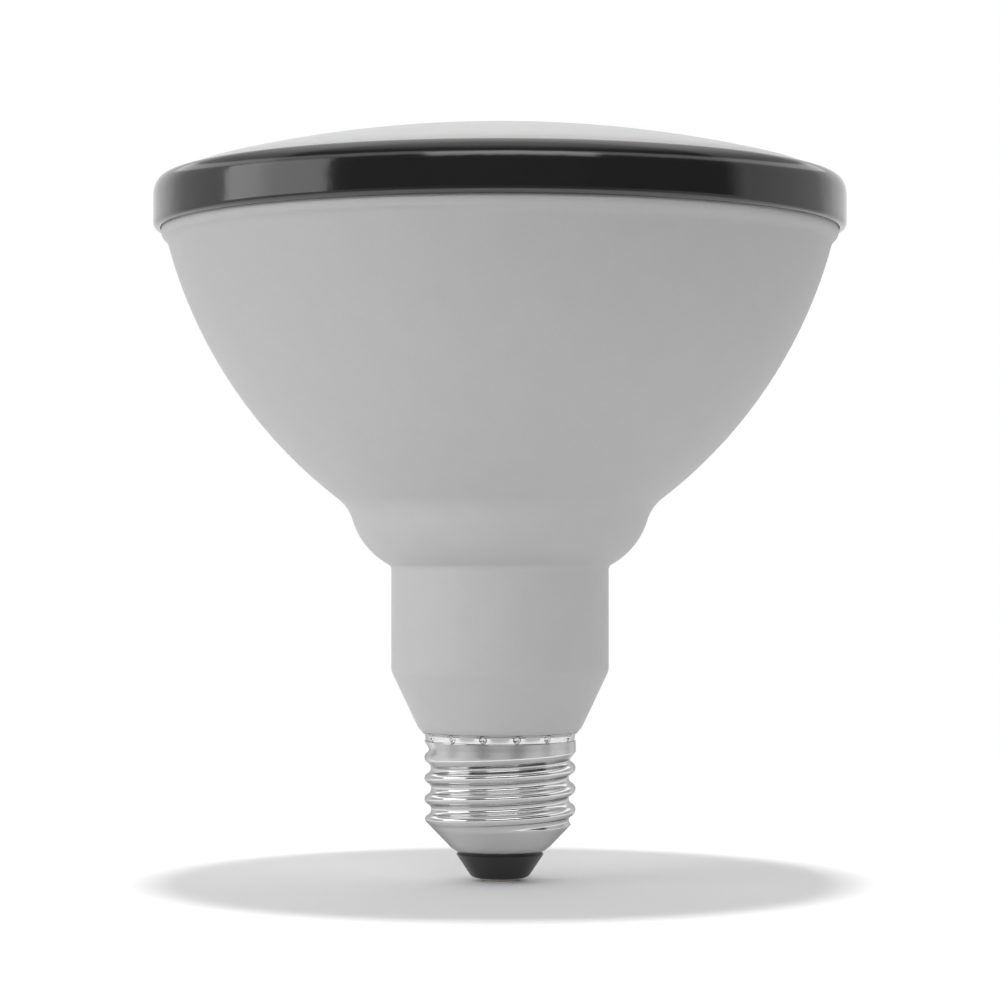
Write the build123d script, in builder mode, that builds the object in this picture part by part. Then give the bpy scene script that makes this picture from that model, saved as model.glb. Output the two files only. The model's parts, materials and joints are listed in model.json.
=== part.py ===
from build123d import *
import math
import os

# A reflector flood lamp on a medium Edison screw cap, standing upright on its centre contact.
# Millimetres, +Z up the lamp's axis, origin at the tip of the centre contact.

# Clearances and walls that several pieces share
fit_gap = 0.1
mould_wall = 2.0
moulded_bevel = 0.5

# Centre contact and insulator
contact_radius = 3.4
contact_thickness = 1.1
contact_proud = 0.5
contact_bevel = 0.3
shank_radius = 1.7
shank_length = 9.5
insulator_tip_radius = 4.0
tip_bevel_width = 1.1
tip_bevel_height = 0.4
insulator_radius = 7.65
insulator_taper_height = 3.8
insulator_land_height = 0.46
insulator_flange_width = 2.4
insulator_flange_height = 1.4

# Screw shell, seven turns to the inch
inch = 25.4
turns_per_inch = 7
thread_crest_radius = 13.2
thread_depth = 1.15
thread_start_height = 3.09
thread_start_angle = -50
crest_width = 0.7
crest_bevel_width = 0.5
crest_bevel_depth = 0.35
flank_angle = 60
shell_sheet = 0.35
shell_shoulder_width = 0.85
shell_shoulder_height = 0.54
shell_cone_angle = 46
shell_height = 20.34
skirt_height = 2.6
skirt_step = 0.05
skirt_band_height = 0.8
staked_band_taper = 0.1
stake_count = 14
stake_width = 1.45
stake_height = 1.3
stake_depth = 0.4
stake_below_rim = 0.4

# Neck and bowl: cap spigot, collar, taper, neck, lap joint, shoulder, bowl and rim
spigot_length = 5.0
spigot_wall = 2.0
collar_width = 1.05
collar_height = 1.2
taper_height = 9.87
neck_radius = 18.98
neck_length = 18.23
neck_round = 3.0
seam_below_shoulder = 2.0
lap_height = 3.0
lap_thickness = 1.0
shoulder_width = 7.22
shoulder_height = 10.2
shoulder_arc = 13.2
shoulder_round = 1.0
bowl_width = 31.6
bowl_height = 45.76
bowl_arc = 82.7
crease_round = 7.5
bead_width = 1.15
bead_bevel = 0.8
ledge_width = 4.0
ledge_height = 6.0

# Trim ring, gasket and lens
ring_above_bowl = 2.44
ring_wall = 1.275
ring_bevel = 1.1
ring_lip_width = 0.15
ring_round = 2.3
ring_cover = 2.24
snap_depth = 0.6
snap_height = 1.2
snap_above_lip = 1.1
snap_below_rim = 1.06
gasket_thickness = 1.2
gasket_width = 2.2
lens_wall = 2.0
lens_flange_width = 1.95
lens_flange_height = 2.0
lens_dome_arc = 205.0
lens_proud = 0.6
lens_edge_bevel = 0.4

# Light source: plate, board, packages, screws, terminal and reflector
plate_thickness = 3.0
plate_border = 6.0
wire_hole_radius = 4.0
led_board_thickness = 1.6
led_width = 2.8
led_length = 3.5
led_thickness = 0.7
inner_led_radius = 16.0
inner_led_count = 6
outer_led_radius = 26.0
outer_led_count = 12
screw_ring_radius = 21.0
screw_count = 3
screw_radius = 1.5
screw_head_radius = 2.4
screw_head_height = 1.7
screw_head_bevel = 0.6
screw_slot_width = 0.7
screw_slot_depth = 0.6
terminal_depth = 5.0
terminal_width = 8.0
terminal_height = 4.0
terminal_from_hole = 2.0
terminal_grip = 3.0
reflector_wall = 1.2
reflector_border = 3.0
reflector_lip_height = 2.5
reflector_below_rim = 0.6

# Driver: board, rails and the parts on its two faces
driver_thickness = 1.6
driver_margin = 3.0
driver_headroom = 3.0
rail_depth = 2.8
rail_width = 4.8
rail_height = 12.0
rail_floor = 2.0
slot_depth = 1.8
part_spacing = 2.0
film_width = 12.0
film_height = 8.0
film_depth = 6.0
core_height = 12.0
core_depth = 5.0
core_leg = 4.0
core_window = 3.0
core_yoke = 2.4
winding_clearance = 0.5
winding_bulge = 2.2
winding_round = 1.0
can_radius = 4.0
can_length = 14.0
can_groove_depth = 0.4
can_groove_width = 0.8
can_groove_from_end = 2.0
fuse_radius = 1.6
fuse_length = 9.0
choke_radius = 4.0
choke_height = 8.0
choke_flange = 1.2
choke_waist = 0.9
bridge_width = 6.5
bridge_height = 4.8
bridge_depth = 2.4
chip_width = 4.9
chip_height = 3.9
chip_depth = 1.5

# Leads
mains_lead_radius = 0.75
live_lead_bend = 12.0
live_lead_slant = 6.0
neutral_lead_bend = 3.0
neutral_lead_offset = 5.5
neutral_lead_below_spigot = 0.5
led_lead_radius = 0.6
led_lead_bend = 3.0
lead_setback = 0.5

# Levels and radii of the cap
thread_pitch = inch / turns_per_inch
thread_root_radius = thread_crest_radius - thread_depth
skirt_radius = thread_crest_radius + skirt_step
insulator_bottom = contact_proud
taper_bottom = insulator_bottom + tip_bevel_height
taper_top = taper_bottom + insulator_taper_height
shell_bottom = taper_top + insulator_land_height
shell_top = shell_bottom + shell_height
mouth_radius = insulator_radius - shell_sheet
shell_shoulder_radius = insulator_radius + shell_shoulder_width
shell_shoulder_level = shell_bottom + shell_shoulder_height
cone_slope = math.tan(math.radians(shell_cone_angle))
cone_top = shell_shoulder_level + (thread_root_radius - shell_shoulder_radius) * cone_slope
skirt_bottom = shell_top - skirt_height
skirt_foot = skirt_bottom - (skirt_radius - thread_root_radius)
skirt_band_top = skirt_bottom + skirt_band_height
shell_rim_radius = skirt_radius - staked_band_taper
shell_bore = thread_root_radius - shell_sheet
spigot_bottom = shell_top - spigot_length
spigot_radius = shell_bore - fit_gap
spigot_bore = spigot_radius - spigot_wall
staked_spigot_radius = shell_rim_radius - stake_depth - shell_sheet - fit_gap

# Levels and radii of the neck and bowl
collar_top = shell_top + collar_height
collar_radius = skirt_radius + collar_width
neck_bottom = collar_top + taper_height
neck_top = neck_bottom + neck_length
neck_bore = neck_radius - mould_wall
seam_level = neck_top - seam_below_shoulder
lap_radius = neck_bore + lap_thickness
crease_radius = neck_radius + shoulder_width
crease_level = neck_top + shoulder_height
bowl_rim_radius = crease_radius + bowl_width
bowl_rim_level = crease_level + bowl_height


def arc_center(start, end, radius):
    """The center of an arc that bulges away from the axis as it rises from start to end in a half section."""
    middle = (Vector(*start) + Vector(*end)) / 2
    chord = Vector(*end) - Vector(*start)
    height = math.sqrt(radius**2 - (chord.length / 2) ** 2)
    return middle + Vector(-chord.Y, chord.X).normalized() * height


bowl_center = arc_center((crease_radius, crease_level), (bowl_rim_radius, bowl_rim_level), bowl_arc)


def bowl_inside(level):
    """The radius of the bowl's inner face at a level."""
    return bowl_center.X + math.sqrt((bowl_arc - mould_wall) ** 2 - (level - bowl_center.Y) ** 2)


# Levels and radii of the front
rim_bore = bowl_inside(bowl_rim_level)
bead_radius = bowl_rim_radius + bead_width
ring_bore = bead_radius + fit_gap
ring_radius = ring_bore + ring_wall
ring_bottom = bowl_rim_level + ring_above_bowl
snap_bottom = ring_bottom + snap_above_lip
snap_top = snap_bottom + snap_height
bowl_top = snap_top + snap_below_rim
flange_bottom = bowl_top + gasket_thickness
flange_top = flange_bottom + lens_flange_height
ring_ceiling = flange_top + fit_gap
ring_top = ring_ceiling + ring_cover
lens_flange_radius = ring_bore - fit_gap
lens_radius = lens_flange_radius - lens_flange_width
lens_edge = ring_top + lens_proud
lens_top = lens_edge + lens_dome_arc - math.sqrt(lens_dome_arc**2 - lens_radius**2)
lens_inner_radius = lens_radius - lens_wall
lens_inner_arc = lens_dome_arc - lens_wall
lens_inner_edge = lens_top - lens_dome_arc + math.sqrt(lens_inner_arc**2 - lens_inner_radius**2)

# Levels of the driver, from its rails up
driver_seat = driver_thickness / 2 + fit_gap
rail_bottom = neck_bottom + neck_round
driver_bottom = rail_bottom + rail_floor
slot_half = neck_bore - rail_depth + slot_depth
film_level = driver_bottom + driver_margin + film_height / 2
core_level = film_level + film_height / 2 + part_spacing + core_height / 2
can_level = core_level + core_height / 2 + part_spacing + can_radius
driver_top = can_level + can_radius + driver_margin
fuse_level = driver_bottom + driver_margin + fuse_radius
choke_level = fuse_level + fuse_radius + part_spacing + choke_radius
bridge_level = choke_level + choke_radius + part_spacing + bridge_height / 2
chip_level = bridge_level + bridge_height / 2 + part_spacing + chip_height / 2
core_width = 2 * core_leg + 2 * core_window
window_height = core_height - 2 * core_yoke
winding_half = core_leg / 2 + core_window - winding_clearance
winding_depth = core_depth + 2 * winding_bulge

# Levels of the light source
ledge_level = driver_top + driver_headroom
plate_top = ledge_level + plate_thickness
plate_radius = bowl_inside(ledge_level) - fit_gap
board_top = plate_top + led_board_thickness
led_board_radius = plate_radius - plate_border
reflector_foot_radius = led_board_radius - reflector_border
reflector_top = bowl_top - reflector_below_rim
reflector_radius = rim_bore - fit_gap
terminal_face = wire_hole_radius + terminal_from_hole
terminal_level = board_top + terminal_height / 2
led_lead_side = driver_seat + led_lead_radius
mains_lead_side = driver_seat + mains_lead_radius

os.makedirs("parts", exist_ok=True)

# Centre contact: a flat button with a hollow shank that takes the live lead
with BuildPart() as center_contact:
    Cylinder(contact_radius, contact_thickness, align=(Align.CENTER, Align.CENTER, Align.MIN))
    chamfer(center_contact.edges().group_by(Axis.Z)[0], contact_bevel)
    with BuildSketch(Plane.XY.offset(contact_thickness)):
        Circle(shank_radius)
        Circle(mains_lead_radius + fit_gap, mode=Mode.SUBTRACT)
    extrude(amount=shank_length)

center_contact.part.label = "center_contact"
export_step(center_contact.part, "parts/center_contact.step")

# Outline of the screw shell before its thread is rolled, from the turned-in lip up to the rim
shell_outline = [
    Vector(insulator_radius, shell_bottom),
    Vector(shell_shoulder_radius, shell_shoulder_level),
    Vector(thread_root_radius, cone_top),
    Vector(thread_root_radius, skirt_foot),
    Vector(skirt_radius, skirt_bottom),
    Vector(skirt_radius, skirt_band_top),
    Vector(shell_rim_radius, shell_top),
]


def drawn_in(outline, inset):
    """The inner corners of an outline, each moved to where its sides meet once they are drawn in."""
    moved = []
    for before, corner, after in zip(outline, outline[1:], outline[2:]):
        first = (corner - before).normalized()
        second = (after - corner).normalized()
        bisector = Vector(-first.Y - second.Y, first.X + second.X)
        moved.append(corner + bisector * (inset / (1 + first.dot(second))))
    return moved


# Cap insulator: a tapered nose below the shell, and a flange that sits in the shell's cone
seat_corner = drawn_in(shell_outline, shell_sheet + fit_gap)[0]
flange_radius = seat_corner.X + insulator_flange_width
flange_edge = seat_corner.Y + insulator_flange_width * cone_slope
insulator_top = flange_edge + insulator_flange_height

with BuildPart() as cap_insulator:
    with BuildSketch(Plane.XZ):
        with BuildLine():
            Polyline(
                (0, insulator_bottom),
                (insulator_tip_radius, insulator_bottom),
                (insulator_tip_radius + tip_bevel_width, taper_bottom),
                (insulator_radius, taper_top),
                (insulator_radius, shell_bottom),
                (mouth_radius - fit_gap, shell_bottom),
                (mouth_radius - fit_gap, seat_corner.Y),
                (seat_corner.X, seat_corner.Y),
                (flange_radius, flange_edge),
                (flange_radius, insulator_top),
                (0, insulator_top),
                close=True,
            )
        make_face()
    revolve(axis=Axis.Z)
    with BuildSketch(Plane.XY.offset(insulator_bottom)):
        Circle(contact_radius + fit_gap)
    extrude(amount=contact_thickness - contact_proud, mode=Mode.SUBTRACT)
    with BuildSketch(Plane.XY.offset(insulator_bottom)):
        Circle(shank_radius + fit_gap)
    extrude(amount=insulator_top - insulator_bottom, mode=Mode.SUBTRACT)

cap_insulator.part.label = "cap_insulator"
export_step(cap_insulator.part, "parts/cap_insulator.step")

# One turn of the rolled thread's ridge, below the skirt it runs out into
ridge_start = shell_bottom + thread_start_height
thread_turns = math.ceil((skirt_bottom - ridge_start) / thread_pitch)
flank_top = thread_depth - crest_bevel_depth
flank_half = crest_width / 2 + crest_bevel_width
ridge_base = -shell_sheet / 2
base_half = flank_half + (flank_top - ridge_base) / math.tan(math.radians(flank_angle))

with BuildPart() as thread_turn:
    with BuildLine(Plane.XY.offset(ridge_start).rotated((0, 0, thread_start_angle))) as thread_path:
        Helix(thread_pitch, thread_pitch, thread_root_radius)
    start_side = Vector(1, 0, 0).rotate(Axis.Z, thread_start_angle)
    with BuildSketch(Plane(thread_path.line @ 0, x_dir=start_side, z_dir=thread_path.line % 0)):
        with BuildLine():
            Polyline(
                (ridge_base, -base_half),
                (flank_top, -flank_half),
                (thread_depth, -crest_width / 2),
                (thread_depth, crest_width / 2),
                (flank_top, flank_half),
                (ridge_base, base_half),
                close=True,
            )
        make_face()
    sweep(is_frenet=True)


def stake_punch(growth):
    """A half-round punch at the front of the skirt, grown by an allowance all round."""
    floor = shell_rim_radius - stake_depth - growth
    base = shell_top - stake_below_rim - stake_height
    half_width = stake_width / 2 + growth
    spring = stake_height - stake_width / 2
    with BuildPart() as punch:
        with BuildSketch(Plane((0, -floor, base), x_dir=(1, 0, 0), z_dir=(0, -1, 0))):
            with BuildLine():
                Polyline(
                    (-half_width, spring),
                    (-half_width, -growth),
                    (half_width, -growth),
                    (half_width, spring),
                )
                ThreePointArc((half_width, spring), (0, stake_height + growth), (-half_width, spring))
            make_face()
        extrude(amount=2 * stake_depth + growth)
    return punch.part


# Space inside the shell, with a bump behind each stake
with BuildPart() as shell_space:
    with BuildSketch(Plane.XZ):
        with BuildLine():
            Polyline(
                (0, shell_bottom),
                (mouth_radius, shell_bottom),
                *[(corner.X, corner.Y) for corner in drawn_in(shell_outline, shell_sheet)],
                (shell_rim_radius - shell_sheet, shell_top),
                (0, shell_top),
                close=True,
            )
        make_face()
    revolve(axis=Axis.Z)
    with PolarLocations(0, stake_count, start_angle=180 / stake_count):
        add(stake_punch(shell_sheet), mode=Mode.SUBTRACT)

# Screw shell: the sheet with its rolled thread cut off at the cone, staked to the spigot round the skirt
with BuildPart() as screw_shell:
    with BuildSketch(Plane.XZ):
        with BuildLine():
            Polyline(
                (0, shell_bottom),
                *[(corner.X, corner.Y) for corner in shell_outline],
                (0, shell_top),
                close=True,
            )
        make_face()
    revolve(axis=Axis.Z)
    with Locations(*[(0, 0, turn * thread_pitch) for turn in range(thread_turns)]):
        add(thread_turn.part)
    with BuildSketch(Plane.XZ):
        with BuildLine():
            Polyline(
                (0, shell_bottom),
                (insulator_radius, shell_bottom),
                (shell_shoulder_radius, shell_shoulder_level),
                (skirt_radius, shell_shoulder_level + (skirt_radius - shell_shoulder_radius) * cone_slope),
                (skirt_radius, skirt_band_top),
                (shell_rim_radius, shell_top),
                (0, shell_top),
                close=True,
            )
        make_face()
    revolve(axis=Axis.Z, mode=Mode.INTERSECT)
    with PolarLocations(0, stake_count, start_angle=180 / stake_count):
        add(stake_punch(0), mode=Mode.SUBTRACT)
    add(shell_space.part, mode=Mode.SUBTRACT)

screw_shell.part.label = "screw_shell"
export_step(screw_shell.part, "parts/screw_shell.step")

# Neck: a moulding of even wall, with a spigot for the cap, rails for the driver and a tongue for the bowl
rail_middle = neck_bore - (rail_depth - mould_wall / 2) / 2

with BuildPart() as neck:
    with BuildSketch(Plane.XZ):
        with BuildLine() as neck_skin:
            Polyline(
                (skirt_radius, shell_top),
                (collar_radius, collar_top),
                (neck_radius, neck_bottom),
                (neck_radius, seam_level),
            )
            fillet(neck_skin.vertices().sort_by_distance((neck_radius, neck_bottom))[0], neck_round)
            offset(amount=mould_wall, side=Side.LEFT)
        make_face()
        with BuildLine():
            Polyline(
                (spigot_bore, spigot_bottom),
                (spigot_radius, spigot_bottom),
                (spigot_radius, skirt_bottom),
                (staked_spigot_radius, skirt_bottom),
                (staked_spigot_radius, shell_top),
                (skirt_radius, shell_top),
                (collar_radius, collar_top),
                (spigot_bore, collar_top),
                close=True,
            )
        make_face()
        with BuildLine():
            Polyline(
                (neck_bore, seam_level - lap_height),
                (lap_radius, seam_level - lap_height),
                (lap_radius, seam_level + lap_height),
                (neck_bore, seam_level + lap_height),
                close=True,
            )
        make_face()
    revolve(axis=Axis.Z)
    with BuildSketch(Plane.XY.offset(rail_bottom)):
        with Locations((rail_middle, 0), (-rail_middle, 0)):
            Rectangle(rail_depth + mould_wall / 2, rail_width)
    extrude(amount=rail_height)
    with BuildSketch(Plane.XY.offset(driver_bottom)):
        Rectangle(2 * slot_half, driver_thickness + 2 * fit_gap)
    extrude(amount=rail_height, mode=Mode.SUBTRACT)

neck.part.label = "neck"
export_step(neck.part, "parts/neck.step")

# Bowl: a moulding of even wall that laps over the neck, with a ledge for the plate and a grooved rim
ledge_radius = plate_radius - ledge_width
ledge_root = bowl_inside(ledge_level) + mould_wall / 2
ledge_foot = bowl_inside(ledge_level - ledge_height) + mould_wall / 2

with BuildPart() as bowl:
    with BuildSketch(Plane.XZ) as bowl_section:
        with BuildLine() as bowl_skin:
            Line((neck_radius, seam_level), (neck_radius, neck_top))
            RadiusArc((neck_radius, neck_top), (crease_radius, crease_level), -shoulder_arc)
            RadiusArc((crease_radius, crease_level), (bowl_rim_radius, bowl_rim_level), -bowl_arc)
            fillet(bowl_skin.vertices().sort_by_distance((neck_radius, neck_top))[0], shoulder_round)
            fillet(bowl_skin.vertices().sort_by_distance((crease_radius, crease_level))[0], crease_round)
            offset(amount=mould_wall, side=Side.LEFT)
        make_face()
        with BuildLine():
            Polyline(
                (rim_bore, bowl_rim_level),
                (bead_radius, bowl_rim_level),
                (bead_radius, snap_bottom),
                (bead_radius - snap_depth, snap_bottom),
                (bead_radius - snap_depth, snap_top),
                (bead_radius, snap_top),
                (bead_radius, bowl_top),
                (rim_bore, bowl_top),
                close=True,
            )
        make_face()
        with BuildLine():
            Polyline(
                (ledge_radius, ledge_level),
                (ledge_foot, ledge_level - ledge_height),
                (ledge_root, ledge_level),
                close=True,
            )
        make_face()
        with BuildLine():
            Polyline(
                (neck_bore, seam_level),
                (lap_radius + fit_gap, seam_level),
                (lap_radius + fit_gap, seam_level + lap_height + fit_gap),
                (neck_bore, seam_level + lap_height + fit_gap),
                close=True,
            )
        make_face(mode=Mode.SUBTRACT)
        chamfer(bowl_section.vertices().sort_by_distance((bead_radius, bowl_rim_level))[0], bead_bevel)
    revolve(axis=Axis.Z)

bowl.part.label = "bowl"
export_step(bowl.part, "parts/bowl.step")

# Trim ring: snaps over the bead and holds the lens flange down
with BuildPart() as trim_ring:
    with BuildSketch(Plane.XZ) as ring_section:
        with BuildLine():
            Polyline(
                (ring_bore, ring_bottom),
                (ring_bore + ring_lip_width, ring_bottom),
                (ring_radius, ring_bottom + ring_bevel),
                (ring_radius, ring_top),
                (lens_radius + fit_gap, ring_top),
                (lens_radius + fit_gap, ring_ceiling),
                (ring_bore, ring_ceiling),
                (ring_bore, snap_top - fit_gap),
                (ring_bore - snap_depth, snap_top - fit_gap),
                (ring_bore - snap_depth, snap_bottom + fit_gap),
                (ring_bore, snap_bottom + fit_gap),
                close=True,
            )
        make_face()
        fillet(ring_section.vertices().sort_by_distance((ring_radius, ring_top))[0], ring_round)
    revolve(axis=Axis.Z)

trim_ring.part.label = "trim_ring"
export_step(trim_ring.part, "parts/trim_ring.step")

# Lens gasket: a flat seal on the rim of the bowl
with BuildPart() as lens_gasket:
    with BuildSketch(Plane.XY.offset(bowl_top)):
        Circle((rim_bore + bead_radius + gasket_width) / 2)
        Circle((rim_bore + bead_radius - gasket_width) / 2, mode=Mode.SUBTRACT)
    extrude(amount=gasket_thickness)

lens_gasket.part.label = "lens_gasket"
export_step(lens_gasket.part, "parts/lens_gasket.step")

# Front lens: a shallow dome with a flange under the trim ring
with BuildPart() as front_lens:
    with BuildSketch(Plane.XZ) as lens_section:
        with BuildLine():
            RadiusArc((0, lens_top), (lens_radius, lens_edge), lens_dome_arc)
            Polyline(
                (lens_radius, lens_edge),
                (lens_radius, flange_top),
                (lens_flange_radius, flange_top),
                (lens_flange_radius, flange_bottom),
                (lens_inner_radius, flange_bottom),
                (lens_inner_radius, lens_inner_edge),
            )
            RadiusArc((lens_inner_radius, lens_inner_edge), (0, lens_top - lens_wall), -lens_inner_arc)
            Line((0, lens_top - lens_wall), (0, lens_top))
        make_face()
        chamfer(lens_section.vertices().sort_by_distance((lens_radius, lens_edge))[0], lens_edge_bevel)
    revolve(axis=Axis.Z)

front_lens.part.label = "front_lens"
export_step(front_lens.part, "parts/front_lens.step")

# Heat spreader: a plate on the bowl's ledge, tapped for the board's screws
with BuildPart() as heat_spreader:
    with BuildSketch(Plane.XY.offset(ledge_level)):
        Circle(plate_radius)
        Circle(wire_hole_radius, mode=Mode.SUBTRACT)
        with PolarLocations(screw_ring_radius, screw_count):
            Circle(screw_radius + fit_gap, mode=Mode.SUBTRACT)
    extrude(amount=plate_thickness)

heat_spreader.part.label = "heat_spreader"
export_step(heat_spreader.part, "parts/heat_spreader.step")

# Light board: a round metal-core board on the plate
with BuildPart() as led_board:
    with BuildSketch(Plane.XY.offset(plate_top)):
        Circle(led_board_radius)
        Circle(wire_hole_radius, mode=Mode.SUBTRACT)
        with PolarLocations(screw_ring_radius, screw_count):
            Circle(screw_radius + fit_gap, mode=Mode.SUBTRACT)
    extrude(amount=led_board_thickness)

led_board.part.label = "led_board"
export_step(led_board.part, "parts/led_board.step")

# Light-emitting packages, in two rings turned clear of the screws
with BuildPart() as led_packages:
    with BuildSketch(Plane.XY.offset(board_top)):
        with PolarLocations(inner_led_radius, inner_led_count, start_angle=180 / inner_led_count):
            Rectangle(led_width, led_length)
        with PolarLocations(outer_led_radius, outer_led_count, start_angle=180 / outer_led_count):
            Rectangle(led_width, led_length)
    extrude(amount=led_thickness)

led_packages.part.label = "led_packages"
export_step(led_packages.part, "parts/led_packages.step")

# Board screws: slotted pan heads on the board, shanks through to the plate's underside
with BuildPart() as board_screws:
    with BuildSketch(Plane.XY.offset(ledge_level)):
        with PolarLocations(screw_ring_radius, screw_count):
            Circle(screw_radius)
    extrude(amount=plate_thickness + led_board_thickness)
    with BuildSketch(Plane.XY.offset(board_top)):
        with PolarLocations(screw_ring_radius, screw_count):
            Circle(screw_head_radius)
    extrude(amount=screw_head_height)
    chamfer(board_screws.edges().group_by(Axis.Z)[-1], screw_head_bevel)
    with BuildSketch(Plane.XY.offset(board_top + screw_head_height)):
        with PolarLocations(screw_ring_radius, screw_count):
            Rectangle(screw_slot_width, 2 * screw_head_radius)
    extrude(amount=-screw_slot_depth, mode=Mode.SUBTRACT)

board_screws.part.label = "board_screws"
export_step(board_screws.part, "parts/board_screws.step")

# Board terminal: a block with two wire entries facing the hole
with BuildPart() as board_terminal:
    with BuildSketch(Plane.XY.offset(board_top)):
        with Locations((terminal_face + terminal_depth / 2, 0)):
            Rectangle(terminal_depth, terminal_width)
    extrude(amount=terminal_height)
    chamfer(board_terminal.edges().group_by(Axis.Z)[-1], moulded_bevel)
    with BuildSketch(Plane.YZ.offset(terminal_face)):
        with Locations((led_lead_side, terminal_level), (-led_lead_side, terminal_level)):
            Circle(led_lead_radius + fit_gap)
    extrude(amount=terminal_grip, mode=Mode.SUBTRACT)

board_terminal.part.label = "board_terminal"
export_step(board_terminal.part, "parts/board_terminal.step")

# Reflector cup: a flared cup from the board to the rim, with a short upright lip
with BuildPart() as reflector_cup:
    with BuildSketch(Plane.XZ):
        with BuildLine():
            Polyline(
                (reflector_foot_radius - reflector_wall, board_top),
                (reflector_foot_radius, board_top),
                (reflector_radius, reflector_top - reflector_lip_height),
                (reflector_radius, reflector_top),
                (reflector_radius - reflector_wall, reflector_top),
                (reflector_radius - reflector_wall, reflector_top - reflector_lip_height),
                close=True,
            )
        make_face()
    revolve(axis=Axis.Z)

reflector_cup.part.label = "reflector_cup"
export_step(reflector_cup.part, "parts/reflector_cup.step")

# Driver board: stands in the neck's two rails
with BuildPart() as driver_board:
    with BuildSketch(Plane.XY.offset(driver_bottom)):
        Rectangle(2 * (slot_half - fit_gap), driver_thickness)
    extrude(amount=driver_top - driver_bottom)

driver_board.part.label = "driver_board"
export_step(driver_board.part, "parts/driver_board.step")

# Planes on the driver board's two faces, which look along -Y and +Y
back_face = Plane.XZ.offset(driver_seat)
front_face = Plane((0, driver_seat, 0), x_dir=(-1, 0, 0), z_dir=(0, 1, 0))

# Film capacitor: a boxed block at the foot of the board
with BuildPart() as film_capacitor:
    with BuildSketch(front_face):
        with Locations((0, film_level)):
            Rectangle(film_width, film_height)
    extrude(amount=film_depth)
    chamfer(film_capacitor.faces().sort_by(Axis.Y)[-1].edges(), moulded_bevel)

film_capacitor.part.label = "film_capacitor"
export_step(film_capacitor.part, "parts/film_capacitor.step")

# Transformer core: a closed pair of E halves with a window each side of the middle leg
with BuildPart() as transformer_core:
    with BuildSketch(front_face.offset(winding_bulge)):
        with Locations((0, core_level)):
            Rectangle(core_width, core_height)
            with Locations(((core_leg + core_window) / 2, 0), (-(core_leg + core_window) / 2, 0)):
                Rectangle(core_window, window_height, mode=Mode.SUBTRACT)
    extrude(amount=core_depth)

transformer_core.part.label = "transformer_core"
export_step(transformer_core.part, "parts/transformer_core.step")

# Transformer winding: wound round the middle leg, and what the transformer stands on
with BuildPart() as transformer_winding:
    with BuildSketch(Plane.XY.offset(core_level - window_height / 2 + fit_gap)):
        with Locations((0, driver_seat + winding_depth / 2)):
            RectangleRounded(2 * winding_half, winding_depth, winding_round)
            Rectangle(core_leg + 2 * fit_gap, core_depth + 2 * fit_gap, mode=Mode.SUBTRACT)
    extrude(amount=window_height - 2 * fit_gap)

transformer_winding.part.label = "transformer_winding"
export_step(transformer_winding.part, "parts/transformer_winding.step")

# Filter capacitor: an electrolytic can lying across the top of the board, grooved at its sealed end
with BuildPart() as filter_capacitor:
    with BuildSketch(Plane.YZ.offset(-can_length / 2)):
        with Locations((driver_seat + can_radius, can_level)):
            Circle(can_radius)
    extrude(amount=can_length)
    chamfer(filter_capacitor.edges().filter_by(GeomType.CIRCLE), moulded_bevel)
    with BuildSketch(Plane.YZ.offset(can_groove_from_end - can_length / 2)):
        with Locations((driver_seat + can_radius, can_level)):
            Circle(can_radius)
            Circle(can_radius - can_groove_depth, mode=Mode.SUBTRACT)
    extrude(amount=can_groove_width, mode=Mode.SUBTRACT)

filter_capacitor.part.label = "filter_capacitor"
export_step(filter_capacitor.part, "parts/filter_capacitor.step")

# Fuse resistor: a small round body across the back of the board
with BuildPart() as fuse_resistor:
    with BuildSketch(Plane.YZ.offset(-fuse_length / 2)):
        with Locations((-driver_seat - fuse_radius, fuse_level)):
            Circle(fuse_radius)
    extrude(amount=fuse_length)
    chamfer(fuse_resistor.edges().filter_by(GeomType.CIRCLE), moulded_bevel)

fuse_resistor.part.label = "fuse_resistor"
export_step(fuse_resistor.part, "parts/fuse_resistor.step")

# Line choke: a drum standing on the back of the board, waisted between its flanges
with BuildPart() as line_choke:
    with BuildSketch(back_face):
        with Locations((0, choke_level)):
            Circle(choke_radius)
    extrude(amount=choke_height)
    with BuildSketch(back_face.offset(choke_flange)):
        with Locations((0, choke_level)):
            Circle(choke_radius)
            Circle(choke_radius - choke_waist, mode=Mode.SUBTRACT)
    extrude(amount=choke_height - 2 * choke_flange, mode=Mode.SUBTRACT)

line_choke.part.label = "line_choke"
export_step(line_choke.part, "parts/line_choke.step")

# Bridge rectifier: a flat block on the back of the board
with BuildPart() as bridge_rectifier:
    with BuildSketch(back_face):
        with Locations((0, bridge_level)):
            Rectangle(bridge_width, bridge_height)
    extrude(amount=bridge_depth)
    chamfer(bridge_rectifier.faces().sort_by(Axis.Y)[0].edges(), moulded_bevel)

bridge_rectifier.part.label = "bridge_rectifier"
export_step(bridge_rectifier.part, "parts/bridge_rectifier.step")

# Driver chip: a small flat package above the rectifier
with BuildPart() as driver_chip:
    with BuildSketch(back_face):
        with Locations((0, chip_level)):
            Rectangle(chip_width, chip_height)
    extrude(amount=chip_depth)
    chamfer(driver_chip.faces().sort_by(Axis.Y)[0].edges(), moulded_bevel)

driver_chip.part.label = "driver_chip"
export_step(driver_chip.part, "parts/driver_chip.step")

# Live lead: up the axis from the contact's shank, then over to the front of the driver board
lead_end = driver_bottom + driver_margin - lead_setback
live_lead_knee = driver_bottom - driver_margin

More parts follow.
